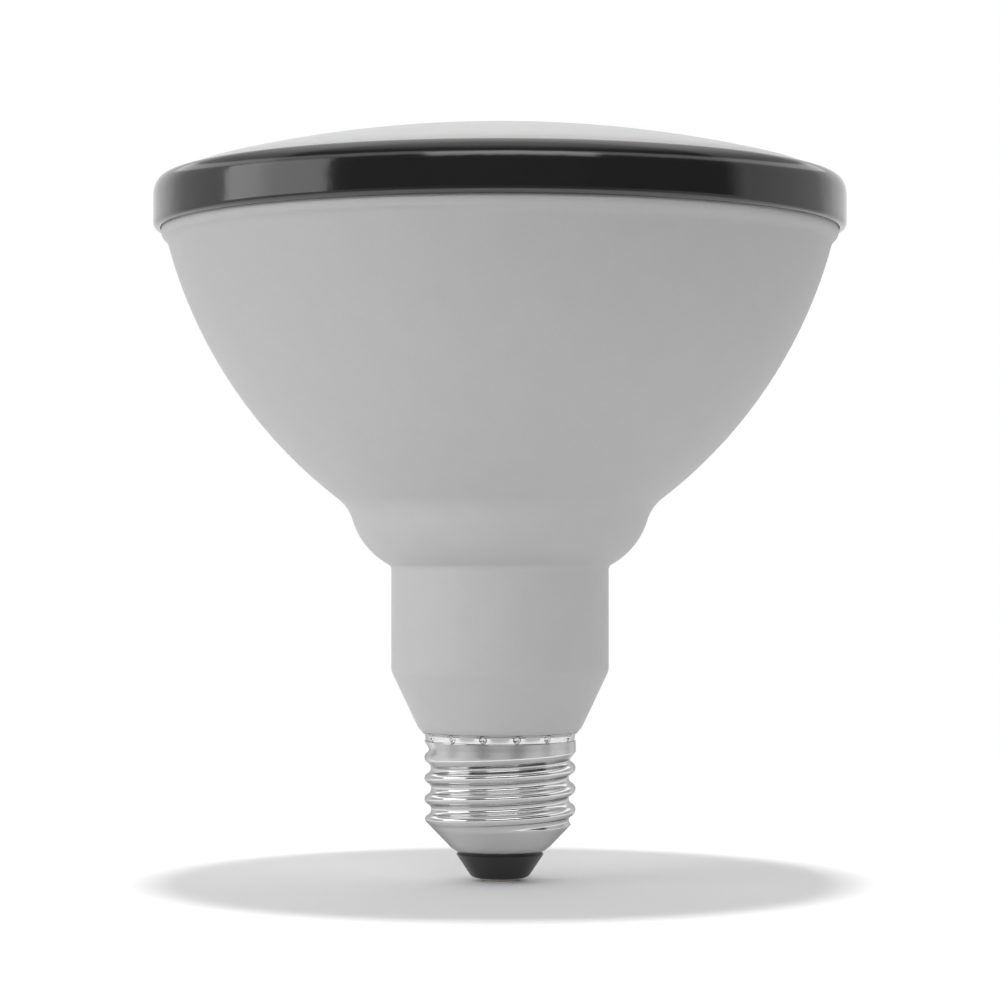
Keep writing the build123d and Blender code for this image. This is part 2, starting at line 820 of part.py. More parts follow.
with BuildPart() as live_lead:
    with BuildLine() as live_route:
        FilletPolyline(
            (0, 0, contact_thickness + fit_gap),
            (0, 0, live_lead_knee - live_lead_slant),
            (0, mains_lead_side, live_lead_knee),
            (0, mains_lead_side, lead_end),
            radius=live_lead_bend,
        )
    with BuildSketch(Plane(live_route.line @ 0, z_dir=live_route.line % 0)):
        Circle(mains_lead_radius)
    sweep()

live_lead.part.label = "live_lead"
export_step(live_lead.part, "parts/live_lead.step")

# Neutral lead: down the back of the driver board, under the spigot's end and out to the shell's bore
neutral_lead_level = spigot_bottom - neutral_lead_below_spigot - mains_lead_radius
neutral_lead_reach = math.sqrt(shell_bore**2 - (mains_lead_side + mains_lead_radius) ** 2) - fit_gap

with BuildPart() as neutral_lead:
    with BuildLine() as neutral_route:
        FilletPolyline(
            (-neutral_lead_offset, -mains_lead_side, lead_end),
            (-neutral_lead_offset, -mains_lead_side, neutral_lead_level),
            (-neutral_lead_reach, -mains_lead_side, neutral_lead_level),
            radius=neutral_lead_bend,
        )
    with BuildSketch(Plane(neutral_route.line @ 0, z_dir=neutral_route.line % 0)):
        Circle(mains_lead_radius)
    sweep()

neutral_lead.part.label = "neutral_lead"
export_step(neutral_lead.part, "parts/neutral_lead.step")

# Light leads: from the top of the driver board, up through the wire hole and over into the terminal
for name, side in (("led_lead_positive", led_lead_side), ("led_lead_negative", -led_lead_side)):
    with BuildPart() as led_lead:
        with BuildLine() as led_route:
            FilletPolyline(
                (0, side, driver_top - driver_margin + lead_setback),
                (0, side, terminal_level),
                (terminal_face + terminal_grip - fit_gap, side, terminal_level),
                radius=led_lead_bend,
            )
        with BuildSketch(Plane(led_route.line @ 0, z_dir=led_route.line % 0)):
            Circle(led_lead_radius)
        sweep()

    led_lead.part.label = name
    export_step(led_lead.part, f"parts/{name}.step")
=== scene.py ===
"""A reflector flood lamp on a screw cap: fine meshes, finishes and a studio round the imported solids."""

import json
import logging
import math
from collections.abc import Iterator
from contextlib import contextmanager
from dataclasses import dataclass, field
from enum import Enum

import bmesh
import bpy
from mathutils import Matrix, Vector


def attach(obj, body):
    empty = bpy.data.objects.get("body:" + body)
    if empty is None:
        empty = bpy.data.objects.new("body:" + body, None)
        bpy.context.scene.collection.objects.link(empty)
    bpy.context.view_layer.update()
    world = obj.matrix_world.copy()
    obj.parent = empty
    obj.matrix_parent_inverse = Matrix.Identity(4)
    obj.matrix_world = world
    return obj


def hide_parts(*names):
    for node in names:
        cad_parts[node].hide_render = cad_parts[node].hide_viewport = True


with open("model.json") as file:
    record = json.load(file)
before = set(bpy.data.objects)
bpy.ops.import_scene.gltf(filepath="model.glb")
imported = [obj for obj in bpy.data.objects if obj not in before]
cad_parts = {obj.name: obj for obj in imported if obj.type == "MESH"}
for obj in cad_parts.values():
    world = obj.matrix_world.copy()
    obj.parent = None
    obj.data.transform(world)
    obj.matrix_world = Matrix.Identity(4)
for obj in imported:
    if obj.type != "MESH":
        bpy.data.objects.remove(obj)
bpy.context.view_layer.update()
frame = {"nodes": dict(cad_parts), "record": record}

log = logging.getLogger("flood_lamp")

MM = 0.001
FULL_TURN = 2 * math.pi
ROUND_STEPS = 192
MERGE_GAP = 1e-6
SMOOTH_ANGLE = math.radians(32)
ORIGIN = (0, 0, 0)
UP = (0, 0, 1)
BODY = "root"

Piece = bpy.types.Object
Socket = bpy.types.NodeSocket
Point = Span = tuple[float, float]
Place = Colour = Triple = tuple[float, float, float]
Bend = tuple[Point, Point, Point]
Feed = float | tuple[float, ...] | Socket


class Slot(str, Enum):
    """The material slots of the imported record."""

    LENS = "lens_frost"
    RING = "ring_black"
    HOUSING = "housing_grey"
    SHELL = "shell_nickel"
    INSULATOR = "insulator_black"
    CONTACT = "contact_metal"
    GASKET = "gasket_rubber"
    REFLECTOR = "reflector_white"
    PLATE = "plate_aluminium"
    LIGHT_BOARD = "light_board_white"
    PHOSPHOR = "phosphor_yellow"
    SCREW = "screw_steel"
    TERMINAL = "terminal_white"
    DRIVER_BOARD = "driver_board_green"
    FILM = "film_case"
    FERRITE = "ferrite_grey"
    WINDING = "winding_tape"
    CAN = "can_sleeve"
    FUSE = "fuse_body"
    PACKAGE = "package_black"
    LEAD_BLACK = "lead_black"
    LEAD_WHITE = "lead_white"
    LEAD_RED = "lead_red"


class Effect(Enum):
    """How a finish varies over its surface: an even sandy grain, or fine lines round the lamp's axis."""

    GRAIN = "fine_grain"
    POLISH = "polish_rings"


class Join(Enum):
    """How a tool changes a piece."""

    ADD = "UNION"
    CUT = "DIFFERENCE"


def grey(value: float) -> Colour:
    """A neutral colour."""
    return value, value, value


def around(corner: Point, offsets: tuple[Point, ...]) -> list[Point]:
    """The points that lie at some offsets from a corner."""
    return [(corner[0] + across, corner[1] + up) for across, up in offsets]


def on_circle(centre: Point, toward: Point, radius: float) -> Point:
    """The point of a circle that lies towards another point.

    Args:
        centre: The circle's centre in the half section, mm.
        toward: The point that gives the direction, mm.
        radius: The circle's radius, mm.

    Returns:
        The point on the circle, mm.
    """
    across, up = toward[0] - centre[0], toward[1] - centre[1]
    share = radius / math.hypot(across, up)
    return centre[0] + across * share, centre[1] + up * share


def circles_meet(first: Point, first_radius: float, second: Point, second_radius: float) -> Point:
    """The outer of the two points where two circles of a half section cross.

    Args:
        first: Centre of the first circle, mm.
        first_radius: Its radius, mm.
        second: Centre of the second circle, mm.
        second_radius: Its radius, mm.

    Returns:
        The crossing that lies further from the axis, mm.
    """
    start, end = Vector(first), Vector(second)
    along = end - start
    gap = along.length
    along.normalize()
    reach = (first_radius**2 - second_radius**2 + gap**2) / (2 * gap)
    rise = math.sqrt(first_radius**2 - reach**2)
    foot = start + along * reach
    sides = [foot + Vector((-along.y, along.x)) * rise * side for side in (1, -1)]
    outer = max(sides, key=lambda point: point.x)
    return outer.x, outer.y


def bulge_centre(start: Point, end: Point, radius: float) -> Point:
    """The centre of an arc that bulges away from the axis as it rises.

    Args:
        start: Lower end of the arc, mm.
        end: Upper end of the arc, mm.
        radius: The arc's radius, mm.

    Returns:
        The centre, mm.
    """
    across, up = end[0] - start[0], end[1] - start[1]
    chord = math.hypot(across, up)
    height = math.sqrt(radius**2 - (chord / 2) ** 2)
    return (start[0] + end[0]) / 2 - up / chord * height, (start[1] + end[1]) / 2 + across / chord * height


def isolate(piece: Piece) -> None:
    """Selects one piece alone and makes it active.

    Args:
        piece: The object.
    """
    bpy.ops.object.select_all(action="DESELECT")
    piece.select_set(True)
    bpy.context.view_layer.objects.active = piece


@contextmanager
def editing(piece: Piece) -> Iterator[None]:
    """Puts one piece alone in edit mode, and back in object mode at the end.

    Args:
        piece: The mesh object to edit.

    Returns:
        Nothing that the block uses.
    """
    isolate(piece)
    bpy.ops.object.mode_set(mode="EDIT")
    bpy.ops.mesh.select_mode(type="VERT")
    yield
    bpy.ops.object.mode_set(mode="OBJECT")


def take_all() -> None:
    """Selects the whole mesh, in edit mode."""
    bpy.ops.mesh.select_all(action="SELECT")


def weld(gap: float = MERGE_GAP) -> None:
    """Merges the points of the whole mesh that lie within a gap in metres, in edit mode."""
    take_all()
    bpy.ops.mesh.remove_doubles(threshold=gap)


def face_outward() -> None:
    """Turns the normals of the whole mesh outward, in edit mode."""
    take_all()
    bpy.ops.mesh.normals_make_consistent(inside=False)


def choose_rims(piece: Piece, low: float, high: float) -> None:
    """Selects, in edit mode, only the open edges between two levels.

    Args:
        piece: The mesh that is being edited.
        low: The lower level, mm.
        high: The upper level, mm.
    """
    bpy.ops.mesh.select_mode(type="EDGE")
    bpy.ops.mesh.select_all(action="DESELECT")
    for edge in bmesh.from_edit_mesh(piece.data).edges:
        if edge.is_boundary and all(low * MM < vert.co.z < high * MM for vert in edge.verts):
            edge.select_set(True)
    bmesh.update_edit_mesh(piece.data)


def cut_by(piece: Piece, tool: Piece, join: Join) -> None:
    """Joins or cuts a piece with a tool, and removes the tool.

    Args:
        piece: The mesh that is changed.
        tool: The mesh that is added or taken away.
        join: Which of the two.
    """
    isolate(piece)
    joint = piece.modifiers.new("joint", "BOOLEAN")
    joint.operation = join.value
    joint.solver = "MANIFOLD"
    joint.object = tool
    bpy.ops.object.modifier_apply(modifier=joint.name)
    bpy.data.objects.remove(tool)


def block(low: Place, high: Place) -> Piece:
    """A box that serves as a tool.

    Args:
        low: Its lowest corner, mm.
        high: Its highest corner, mm.

    Returns:
        The box.
    """
    middle = [(a + b) / 2 * MM for a, b in zip(low, high)]
    span = [(b - a) * MM for a, b in zip(low, high)]
    bpy.ops.mesh.primitive_cube_add(size=1, location=middle, scale=span)
    bpy.ops.object.transform_apply(location=True, rotation=True, scale=True)
    return bpy.context.active_object


class SectionPen:
    """Draws the half section of a turned piece from point to point, then turns it round the axis."""

    def __init__(self, name: str, start: Point) -> None:
        """Starts a section.

        Args:
            name: The piece's name.
            start: Radius and level of the first point, mm.
        """
        bpy.ops.mesh.primitive_plane_add(size=MM)
        self.piece = bpy.context.active_object
        self.piece.name = name
        self.start = start
        self.at = start
        bpy.ops.object.mode_set(mode="EDIT")
        bpy.ops.mesh.select_mode(type="VERT")
        take_all()
        bpy.ops.mesh.merge(type="CENTER")
        bpy.ops.transform.translate(value=(start[0] * MM, 0, start[1] * MM))

    def line(self, *points: Point) -> None:
        """Draws straight on through each point.

        Args:
            points: Radius and level of each corner, mm.
        """
        for point in points:
            step = ((point[0] - self.at[0]) * MM, 0, (point[1] - self.at[1]) * MM)
            bpy.ops.mesh.extrude_region_move(TRANSFORM_OT_translate={"value": step})
            self.at = point

    def arc(self, centre: Point, end: Point, steps: int) -> None:
        """Draws round a centre, the shorter way, to the direction of an end point.

        Args:
            centre: The arc's centre, mm.
            end: Where the arc ends, mm.
            steps: Number of stretches.
        """
        first = math.atan2(self.at[1] - centre[1], self.at[0] - centre[0])
        last = math.atan2(end[1] - centre[1], end[0] - centre[0])
        sweep = (last - first + math.pi) % FULL_TURN - math.pi
        middle = (centre[0] * MM, 0, centre[1] * MM)
        bpy.ops.mesh.spin(steps=steps, angle=sweep, center=middle, axis=(0, 1, 0))
        self.at = end

    def sway(self, corner: Point, end: Point, steps: int) -> None:
        """Draws a soft bend that leaves towards a corner and arrives from it.

        Args:
            corner: The corner that the bend rounds off, mm.
            end: Where the bend ends, mm.
            steps: Number of stretches.
        """
        begin = self.at
        for step in range(1, steps + 1):
            t = step / steps
            keep, pull, go = (1 - t) ** 2, 2 * t * (1 - t), t**2
            self.line((
                keep * begin[0] + pull * corner[0] + go * end[0],
                keep * begin[1] + pull * corner[1] + go * end[1],
            ))

    def bend(self, shape: Bend, steps: int) -> None:
        """Draws straight to a bend's start, then round its corner to its end."""
        self.line(shape[0])
        self.sway(*shape[1:], steps)

    def lift(self) -> Piece:
        """Ends the section where it is and gives the open line."""
        bpy.ops.object.mode_set(mode="OBJECT")
        return self.piece

    def turned(self, steps: int = ROUND_STEPS) -> Piece:
        """Closes the section and turns it into a solid of revolution.

        Args:
            steps: Number of stretches round the axis.

        Returns:
            The finished mesh object.
        """
        self.line(self.start)
        weld()
        take_all()
        bpy.ops.mesh.spin(steps=steps, angle=FULL_TURN, center=ORIGIN, axis=UP)
        weld()
        take_all()
        bpy.ops.mesh.delete_loose()
        face_outward()
        return self.lift()


class NodeSheet:
    """Adds nodes to one node tree and wires them as it goes."""

    def __init__(self, tree: bpy.types.NodeTree) -> None:
        """Takes the tree that the nodes go into."""
        self.tree = tree

    def feed(self, node: bpy.types.Node, inputs: dict[str | int, Feed]) -> None:
        """Links or sets some inputs of a node.

        Args:
            node: The node.
            inputs: What each input gets, a socket or a value, by the input's name or number.
        """
        for label, value in inputs.items():
            if isinstance(value, Socket):
                self.tree.links.new(value, node.inputs[label])
            else:
                node.inputs[label].default_value = value

    def add(self, kind: str, inputs: dict[str | int, Feed], **settings: object) -> bpy.types.NodeOutputs:
        """Adds one node.

        Args:
            kind: The node's type.
            inputs: What each input gets, a socket or a value.
            settings: The node's own settings.

        Returns:
            The node's outputs.
        """
        node = self.tree.nodes.new(kind)
        for label, setting in settings.items():
            setattr(node, label, setting)
        self.feed(node, inputs)
        return node.outputs

    def math(self, operation: str, first: Feed, second: Feed) -> Socket:
        """One sum, product or test of two values."""
        return self.add("ShaderNodeMath", {0: first, 1: second}, operation=operation)["Value"]

    def most(self, first: Feed, *others: Feed) -> Socket:
        """The largest of some values.

        Args:
            first: The first value.
            others: The other values.

        Returns:
            The largest value.
        """
        for other in others:
            first = self.math("MAXIMUM", first, other)
        return first

    def span(self, value: Feed, old: Point, new: Point, kind: str = "LINEAR") -> Socket:
        """Maps a value from one range to another, held to its ends.

        Args:
            value: The value.
            old: The two ends that it comes from.
            new: The two ends that it goes to.
            kind: The curve between them.

        Returns:
            The mapped value.
        """
        ends = {"From Min": old[0], "From Max": old[1], "To Min": new[0], "To Max": new[1]}
        return self.add("ShaderNodeMapRange", {"Value": value, **ends}, interpolation_type=kind)["Result"]

    def ramp(self, value: Feed, *stops: Point) -> Socket:
        """A grey that changes along a value.

        Args:
            value: The value, from 0 to 1.
            stops: Position and tone of each stop.

        Returns:
            The grey.
        """
        node = self.tree.nodes.new("ShaderNodeValToRGB")
        self.feed(node, {"Fac": value})
        marks = node.color_ramp.elements
        marks.remove(marks[0])
        for number, (position, tone) in enumerate(stops):
            mark = marks.new(position) if number else marks[0]
            mark.position, mark.color = position, (*grey(tone), 1)
        return node.outputs["Color"]

    def mix(self, first: Feed, second: Feed, share: Feed, blend: str = "MIX") -> Socket:
        """Mixes two colours.

        Args:
            first: The first colour.
            second: The second colour.
            share: How much the second one counts.
            blend: The way of mixing.

        Returns:
            The mixed colour.
        """
        inputs = {"Factor": share, "A": first, "B": second}
        return self.add("ShaderNodeMix", inputs, data_type="RGBA", blend_type=blend)["Result"]


def effect_group(effect: Effect) -> bpy.types.ShaderNodeTree:
    """Builds a shader group that finishes share: a fine pattern, also given as height, over a soft mottle.

    Args:
        effect: Which effect.

    Returns:
        The group, with named sockets.
    """
    group = bpy.data.node_groups.new(effect.value, "ShaderNodeTree")
    for label in ("Grains per metre", "Mottle per metre", "Mottle share"):
        group.interface.new_socket(label, in_out="INPUT", socket_type="NodeSocketFloat")
    for label in ("Tone", "Height"):
        group.interface.new_socket(label, in_out="OUTPUT", socket_type="NodeSocketFloat")
    sheet = NodeSheet(group)
    asked = sheet.add("NodeGroupInput", {})
    place = sheet.add("ShaderNodeTexCoord", {})["Object"]
    noise, size = "ShaderNodeTexNoise", {"Scale": asked["Grains per metre"]}
    if effect is Effect.GRAIN:
        fine = sheet.add(noise, {"Vector": place, "Detail": 3.0, **size})["Fac"]
    else:
        level = sheet.add("ShaderNodeSeparateXYZ", {"Vector": place})["Z"]
        fine = sheet.add(noise, {"W": level, "Detail": 4.0, **size}, noise_dimensions="1D")["Fac"]
    wide = sheet.add(noise, {"Vector": place, "Detail": 2.0, "Scale": asked["Mottle per metre"]})["Fac"]
    parts = {"Factor": asked["Mottle share"], "A": fine, "B": wide}
    tone = sheet.add("ShaderNodeMix", parts, data_type="FLOAT")["Result"]
    sheet.add("NodeGroupOutput", {"Tone": tone, "Height": fine})
    return group


@dataclass(frozen=True)
class Finish:
    """A surface finish whose colour, shine and relief follow a grain."""

    slot: Slot
    deep: Colour
    pale: Colour
    shine: Span
    grain_mm: float = 0.3
    relief_mm: float = 0.004
    mottle_mm: float = 6.0
    mottle_share: float = 0.5
    metal: float = 0.0
    glow_through: float = 0.0
    glow_mm: float = 2.0
    specular: float = 0.5
    edge: float = 1.0
    effect: Effect = Effect.GRAIN

    def material(self, groups: dict[Effect, bpy.types.ShaderNodeTree]) -> bpy.types.Material:
        """Builds the finish as a material.

        Args:
            groups: The shared effects.

        Returns:
            The material, named for its slot.
        """
        material = bpy.data.materials.new(self.slot.value + "_finish")
        material.use_nodes = True
        sheet = NodeSheet(material.node_tree)
        scales = {
            "Grains per metre": 1 / (self.grain_mm * MM),
            "Mottle per metre": 1 / (self.mottle_mm * MM),
            "Mottle share": self.mottle_share,
        }
        grain = sheet.add("ShaderNodeGroup", scales, node_tree=groups[self.effect])
        bump = {"Strength": 1.0, "Distance": self.relief_mm * MM, "Height": grain["Height"]}
        sheet.feed(material.node_tree.nodes["Principled BSDF"], {
            "Base Color": sheet.mix((*self.deep, 1), (*self.pale, 1), grain["Tone"]),
            "Roughness": sheet.span(grain["Tone"], (0, 1), self.shine),
            "Normal": sheet.add("ShaderNodeBump", bump)["Normal"],
            "Metallic": self.metal,
            "Specular IOR Level": self.specular,
            "Specular Tint": (*grey(self.edge), 1),
            "Subsurface Weight": self.glow_through,
            "Subsurface Scale": self.glow_mm * MM,
        })
        return material


FINISHES: tuple[Finish, ...] = (
    Finish(
        Slot.LENS, grey(0.5), grey(0.56), (0.5, 0.58), 0.25, 0.004, 9.0, glow_through=0.2, specular=0.1
    ),
    Finish(Slot.RING, grey(0.015), grey(0.02), (0.09, 0.14), 5.0, 0.035, 12.0, 0.4, specular=0.9),
    Finish(Slot.HOUSING, grey(0.58), grey(0.66), (0.5, 0.62), 0.28, 0.012, 5.0, 0.35),
    Finish(
        Slot.SHELL, grey(0.66), grey(0.76), (0.1, 0.15), 0.7, 0.0005, 2.5, 0.5, 1.0,
        edge=0.5, effect=Effect.POLISH,
    ),
    Finish(Slot.INSULATOR, grey(0.014), grey(0.021), (0.32, 0.44), 0.2, 0.004, 3.0, 0.4),
    Finish(Slot.CONTACT, (0.5, 0.47, 0.4), (0.66, 0.63, 0.56), (0.28, 0.42), 0.4, 0.003, 1.5, 0.6, 1.0),
    Finish(Slot.GASKET, grey(0.28), grey(0.36), (0.6, 0.72), 0.3, 0.006),
    Finish(Slot.REFLECTOR, grey(0.8), grey(0.86), (0.3, 0.4), 0.3, 0.003),
    Finish(Slot.PLATE, grey(0.66), (0.78, 0.78, 0.79), (0.32, 0.46), 0.15, 0.003, 4.0, 0.5, 1.0),
    Finish(Slot.LIGHT_BOARD, grey(0.82), grey(0.88), (0.35, 0.45), 0.2, 0.002),
    Finish(Slot.PHOSPHOR, (0.8, 0.6, 0.12), (0.9, 0.74, 0.24), (0.4, 0.55), 0.12, 0.004, 1.2),
    Finish(Slot.SCREW, grey(0.5), grey(0.64), (0.26, 0.4), 0.2, 0.002, 1.5, 0.5, 1.0, effect=Effect.POLISH),
    Finish(Slot.TERMINAL, grey(0.72), (0.82, 0.82, 0.8), (0.45, 0.55), 0.2, 0.004),
    Finish(Slot.DRIVER_BOARD, (0.02, 0.13, 0.05), (0.04, 0.2, 0.08), (0.3, 0.42), 0.5, 0.004, 3.0, 0.4),
    Finish(Slot.FILM, (0.6, 0.4, 0.05), (0.7, 0.5, 0.08), (0.22, 0.32), 0.3, 0.003),
    Finish(Slot.FERRITE, grey(0.05), grey(0.085), (0.5, 0.66), 0.15, 0.008, 2.0, 0.4),
    Finish(
        Slot.WINDING, (0.66, 0.5, 0.06), (0.8, 0.66, 0.12), (0.34, 0.46), 0.4, 0.005, 1.5, 0.5,
        effect=Effect.POLISH,
    ),
    Finish(Slot.CAN, (0.02, 0.03, 0.06), (0.05, 0.07, 0.12), (0.2, 0.3), 0.4, 0.003),
    Finish(Slot.FUSE, (0.16, 0.3, 0.2), (0.25, 0.4, 0.3), (0.4, 0.52), 0.25, 0.008),
    Finish(Slot.PACKAGE, grey(0.018), grey(0.032), (0.5, 0.62), 0.15, 0.006),
    Finish(Slot.LEAD_BLACK, grey(0.018), grey(0.03), (0.38, 0.48), 0.3, 0.003),
    Finish(Slot.LEAD_WHITE, grey(0.74), (0.85, 0.85, 0.83), (0.38, 0.48), 0.3, 0.003),
    Finish(Slot.LEAD_RED, (0.4, 0.02, 0.015), (0.52, 0.04, 0.03), (0.38, 0.48), 0.3, 0.003),
)


class Wardrobe:
    """Every finish as a material, ready to be put on a piece."""

    def __init__(self) -> None:
        """Builds the shared effects and one material for each finish."""
        groups = {effect: effect_group(effect) for effect in Effect}
        self.materials = {finish.slot: finish.material(groups) for finish in FINISHES}

    def put_on(self, piece: Piece, slot: Slot) -> None:
        """Dresses a piece in one finish."""
        piece.data.materials.clear()
        piece.data.materials.append(self.materials[slot])

    def fit(self, piece: Piece, slot: Slot, *nodes: str) -> None:
        """Shades and dresses a new piece, sets it on the lamp and lets it stand for its CAD nodes.

        Args:
            piece: The finished piece.
            slot: The record's slot that its finish belongs to.
            nodes: The CAD nodes that it stands for.
        """
        isolate(piece)
        bpy.ops.object.shade_smooth_by_angle(angle=SMOOTH_ANGLE)
        self.put_on(piece, slot)
        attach(piece, BODY)
        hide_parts(*nodes)
        log.info("%s: %d faces, in place of %s", piece.name, len(piece.data.polygons), ", ".join(nodes))


@dataclass
class ScrewCap:
    """The cap: threaded shell with its stakes, insulator and centre contact. Sizes in mm."""

    mouth_radius: float = 7.3
    lip_radius: float = 7.65
    lip_bend: tuple[Point, ...] = ((8.86, 6.07), (8.62, 5.86), (8.36, 5.66), (8.0, 5.42), (7.78, 5.27))
    shell_bottom: float = 5.16
    shoulder: Point = (8.5, 5.7)
    cone_cut: float = 7.2
    skirt_cut: float = 24.3
    cone_slope: float = math.tan(math.radians(46))
    root_radius: float = 12.05
    crest_radius: float = 13.2
    pitch: float = 25.4 / 7
    crest_level: float = 8.25 + 25.4 / 7 * 50 / 360
    skirt_foot: float = 20.1
    foot_slope: float = 0.8
    skirt_radius: float = 13.25
    band_top: float = 24.4
    step_radius: float = 13.0
    rim_radius: float = 13.16
    flare_foot: float = 25.38
    flare_radius: float = 13.64
    shell_top: float = 25.95
    band_edge: tuple[Point, ...] = ((0, -0.05), (-0.02, -0.01))
    step_edge: tuple[Point, ...] = ((0.03, 0.05), (0, 0.1))
    flare_edge: tuple[Point, ...] = ((0, 0), (0.04, 0.08))
    rim_edge: tuple[Point, ...] = ((-0.12, -0.22), (-0.02, -0.13), (0, -0.07), (-0.03, -0.02), (-0.1, 0))
    rim_reach: float = 0.02
    ripple_start: float = 25.43
    lip_wall: float = 0.4
    inner_levels: Triple = (24.0, 22.9, 9.6)
    wall: float = 0.35
    stake_count: int = 14
    stake_radius: float = 0.78
    stake_depth: float = 0.5
    stake_wall: float = 0.34
    stake_level: float = 25.06
    nose_share: float = 0.97
    nose_push: float = 0.03
    dent_depth: float = 0.02
    dent_reach: float = 2.4
    rim_dip: float = 0.07
    rim_pull: float = 0.05
    thread_steps: int = 160
    turns_drawn: int = 7
    run_out_start: float = 0.73
    run_out_share: float = 0.12
    blend: float = 0.35
    insulator_bore: float = 1.8
    insulator_foot: Bend = ((3.9, 0.5), (4.75, 0.5), (5.25, 1.1))
    insulator_brim: Bend = ((7.5, 4.47), (7.68, 4.74), (7.45, 4.8))
    insulator_flange: tuple[Point, ...] = ((7.2, 4.82), (7.2, 6.0), (8.0, 6.0), (10.2, 8.3), (10.2, 9.7))
    contact_eye: Bend = ((0.55, 0.22), (0.95, 0.22), (1.15, 0.06))
    contact_rise: tuple[Point, Point] = ((1.25, 0), (1.45, 0))
    contact_edge: Bend = ((3.0, 0), (3.4, 0), (3.4, 0.4))
    contact_shank: tuple[Point, ...] = ((3.4, 0.5), (1.7, 0.5), (1.7, 10.4), (0, 10.4))

    def thread_skin(self) -> Piece:
        """Draws one pitch of the rolled wave, winds it down the shell and mirrors it to a right-hand thread.

        Returns:
            The open wound skin, from above the skirt to below the cone.
        """
        depth = self.crest_radius - self.root_radius
        half = self.pitch / 2
        lean = 2 * math.atan2(depth, half)
        bend = half / (2 * math.sin(lean))
        crest = self.crest_level + (self.turns_drawn - 1) * self.pitch
        low, high = (self.root_radius + bend, crest - half), (self.root_radius + bend, crest + half)
        ridge = (self.crest_radius - bend, crest)
        pen = SectionPen("screw_cap_shell", (self.root_radius, crest - half))
        pen.arc(low, on_circle(low, ridge, bend), 6)
        pen.arc(ridge, on_circle(ridge, high, bend), 12)
        pen.arc(high, (self.root_radius, crest + half), 6)
        take_all()
        bpy.ops.mesh.screw(steps=self.thread_steps, turns=self.turns_drawn, center=ORIGIN, axis=UP)
        weld()
        take_all()
        bpy.ops.transform.resize(value=(1, -1, 1), center_override=ORIGIN)
        return pen.lift()

    def press(self, radius: float, limit: float, side: int) -> float:
        """Holds a radius to one side of a limit, with a soft bend where they meet.

        Args:
            radius: The radius to hold, mm.
            limit: The limit, mm.
            side: 1 to stay outside the limit, -1 to stay inside it.

        Returns:
            The held radius, mm.
        """
        near = max(self.blend - abs(radius - limit), 0) / self.blend
        return side * (max(side * radius, side * limit) + near**2 * self.blend / 4)

    def rolled_radius(self, radius: float, level: float, angle: float) -> float:
        """Where the sheet lies once the thread runs out into the cone below and the skirt above.

        Args:
            radius: Radius of the wound wave, mm.
            level: Its level, mm.
            angle: Its angle round the axis, counted from the front.

        Returns:
            The radius of the rolled sheet, mm.
        """
        cone = self.shoulder[0] + (level - self.shoulder[1]) / self.cone_slope
        radius = self.press(radius, cone, -1)
        fade = max(1 - abs(level - self.band_top) / self.dent_reach, 0)
        between = (0.5 - 0.5 * math.cos(self.stake_count * angle)) ** 2
        full = self.skirt_radius - self.dent_depth * fade * between
        turn = angle % FULL_TURN / FULL_TURN
        foot = self.skirt_foot + turn * self.pitch
        early, late = (
            self.press(radius, min(self.root_radius + (level - start) * self.foot_slope, full), 1)
            for start in (foot, foot - self.pitch)
        )
        share = min(max((turn - self.run_out_start) / self.run_out_share, 0), 1)
        share = share**2 * (3 - 2 * share)
        return min(early + share * (late - early), full)

    def roll(self, shell: Piece) -> None:
        """Presses the wound skin onto the cone and the skirt.

        Args:
            shell: The wound skin.
        """
        for vert in shell.data.vertices:
            radius = math.hypot(vert.co.x, vert.co.y)
            angle = math.atan2(vert.co.y, vert.co.x) + math.pi / 2
            share = self.rolled_radius(radius / MM, vert.co.z / MM, angle) * MM / radius
            vert.co.x *= share
            vert.co.y *= share

    def trim(self, shell: Piece) -> None:
        """Cuts the skin off level on the cone and on the skirt.

        Args:
            shell: The rolled skin.
        """
        with editing(shell):
            for level, keep_above in ((self.cone_cut, True), (self.skirt_cut, False)):
                take_all()
                bpy.ops.mesh.bisect(
                    plane_co=(0, 0, level * MM), plane_no=UP, threshold=MERGE_GAP / 10,
                    clear_inner=keep_above, clear_outer=not keep_above,
                )
            weld(5 * MERGE_GAP)

    def draw_on(self, shell: Piece, rim: Point, *steps: Point) -> None:
        """Extrudes an open rim from step to step, in edit mode.

        Args:
            shell: The skin that is being edited.
            rim: The rim's own radius and level, mm.
            steps: Radius and level of each new rim, mm.
        """
        radius, level = rim
        choose_rims(shell, level - self.rim_reach, level + self.rim_reach)
        for next_radius, next_level in steps:
            rise = (0, 0, (next_level - level) * MM)
            bpy.ops.mesh.extrude_region_move(TRANSFORM_OT_translate={"value": rise})
            share = next_radius / radius
            bpy.ops.transform.resize(value=(share, share, 1), center_override=ORIGIN)
            radius, level = next_radius, next_level

